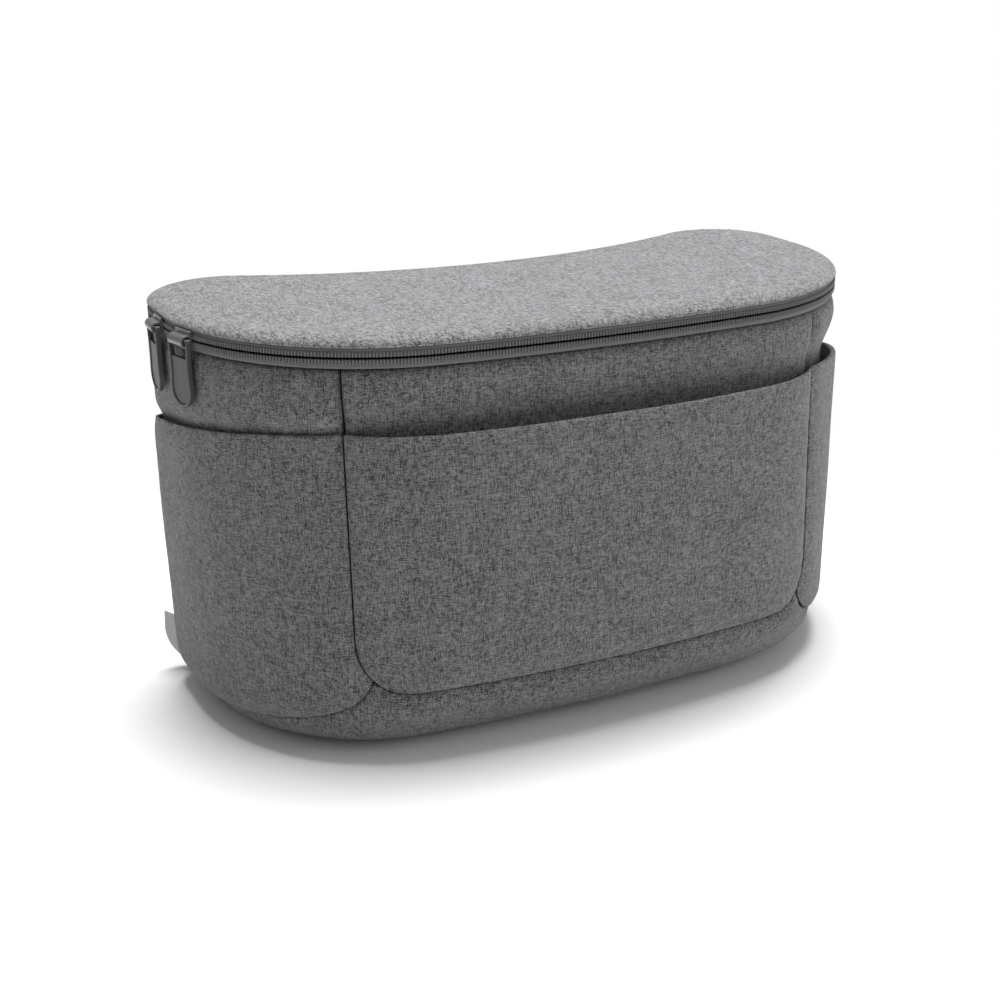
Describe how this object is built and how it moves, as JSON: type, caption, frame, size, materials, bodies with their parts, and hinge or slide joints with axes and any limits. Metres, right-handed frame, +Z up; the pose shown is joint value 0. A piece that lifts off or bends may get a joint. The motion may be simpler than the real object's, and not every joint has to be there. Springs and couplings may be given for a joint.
{
  "type": "stroller organizer",
  "caption": "Padded fabric organizer bag with a bowed kidney-shaped plan, a zipped lid, a front pocket, side pockets and back straps.",
  "frame": {"origin": "centre of the bounding box, on the plane the bag stands on", "axes": "+Z up out of the lid, -Y out of the front pocket, +X to the right as seen from the front"},
  "size_m": [0.3096, 0.1518, 0.172],
  "materials": {
    "body_fabric": "grey melange plain weave",
    "lid_fabric": "grey melange plain weave",
    "board": "stiffener board",
    "lining_fabric": "smooth lining",
    "zip_tape": "woven zip tape",
    "zip_teeth": "nylon coil",
    "slider_metal": "grey lacquer",
    "puller": "matt moulded pull",
    "webbing": "woven webbing",
    "tab": "plain woven tape"
  },
  "bodies": {
    "bag": {"lid_panel": "lid_fabric", "front_wall": "body_fabric", "side_wall_left": "body_fabric", "side_wall_right": "body_fabric", "back_panel": "body_fabric", "bottom_gusset": "body_fabric", "bottom_panel": "body_fabric", "front_pocket": "body_fabric", "side_pocket_left": "body_fabric", "side_pocket_right": "body_fabric", "base_board": "board", "lining": "lining_fabric", "zip_tape_upper": "zip_tape", "zip_tape_lower": "zip_tape", "zip_teeth_upper": "zip_teeth", "zip_teeth_lower": "zip_teeth", "strap_left": "webbing", "strap_right": "webbing", "seam_tab": "tab"},
    "rear_slider": {"slider_rear": "slider_metal"},
    "front_slider": {"slider_front": "slider_metal"},
    "rear_puller": {"puller_rear": "puller"},
    "front_puller": {"puller_front": "puller"}
  },
  "joints": [
    {"name": "rear_slider_travel", "type": "slide", "parent": "bag", "child": "rear_slider", "axis": [0, 1, 0], "range_m": [0, 0.01]},
    {"name": "front_slider_travel", "type": "hinge", "parent": "bag", "child": "front_slider", "pos_m": [-0.0601, 0.0257, 0.1646], "axis": [0, 0, 1], "range_deg": [0, 65]},
    {"name": "rear_puller_hinge", "type": "hinge", "parent": "rear_slider", "child": "rear_puller", "pos_m": [-0.1526, 0.0279, 0.1646], "axis": [0, 1, 0], "range_deg": [0, 170]},
    {"name": "front_puller_hinge", "type": "hinge", "parent": "front_slider", "child": "front_puller", "pos_m": [-0.14941, 0.0016, 0.1646], "axis": [-0.2605, 0.9655, 0], "range_deg": [0, 170]}
  ]
}
